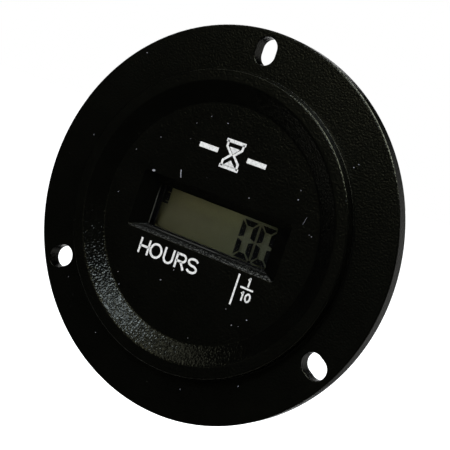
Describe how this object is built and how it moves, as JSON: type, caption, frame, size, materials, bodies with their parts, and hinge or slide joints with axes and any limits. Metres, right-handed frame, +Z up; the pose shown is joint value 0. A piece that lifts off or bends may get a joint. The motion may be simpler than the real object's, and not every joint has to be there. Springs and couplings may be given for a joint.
{
  "type": "hour meter",
  "caption": "Round flush-mounting hour meter with a bolted flange, a raised ring, a liquid crystal window in a bevelled recess and blade terminals on its back.",
  "frame": {"origin": "on the meter's axis, in the plane where the back of its flange meets the panel's front face", "axes": "+Y along the axis into the panel, so the dial faces -Y; +Z up with the display upright; +X to the right of someone who reads the dial"},
  "size_m": [0.0726, 0.0356, 0.0726],
  "materials": {
    "black_moulding": "fine moulded grain, black",
    "black_plastic": "plain moulded black",
    "clear_lens": "clear, polished",
    "display_glass": "clear thin glass",
    "polariser_film": "grey-green film",
    "olive_reflector": "olive reflective film",
    "contact_rubber": "grey silicone with fine stripes",
    "board_laminate": "green solder resist",
    "plated_steel": "bright plated",
    "chip_moulding": "black epoxy",
    "varistor_coating": "blue dipped epoxy",
    "capacitor_sleeve": "dark shrink sleeve",
    "resistor_coating": "lacquered",
    "tinned_brass": "tin plated"
  },
  "bodies": {
    "root": {"housing": "black_moulding", "window_lens": "clear_lens", "lcd_front_polarizer": "polariser_film", "lcd_front_glass": "display_glass", "lcd_rear_glass": "display_glass", "lcd_reflector": "olive_reflector", "lcd_holder": "black_plastic", "zebra_strip_upper": "contact_rubber", "zebra_strip_lower": "contact_rubber", "circuit_board": "board_laminate", "board_screw_1": "plated_steel", "board_screw_2": "plated_steel", "board_screw_3": "plated_steel", "board_screw_4": "plated_steel", "lithium_cell": "plated_steel", "cell_tab_negative": "plated_steel", "cell_tab_positive": "plated_steel", "quartz_crystal": "plated_steel", "bridge_rectifier": "chip_moulding", "optocoupler": "chip_moulding", "microcontroller": "chip_moulding", "varistor": "varistor_coating", "smoothing_capacitor": "capacitor_sleeve", "dropping_resistor_left": "resistor_coating", "dropping_resistor_right": "resistor_coating", "terminal_left": "tinned_brass", "terminal_right": "tinned_brass", "rear_cover": "black_plastic"}
  },
  "joints": []
}
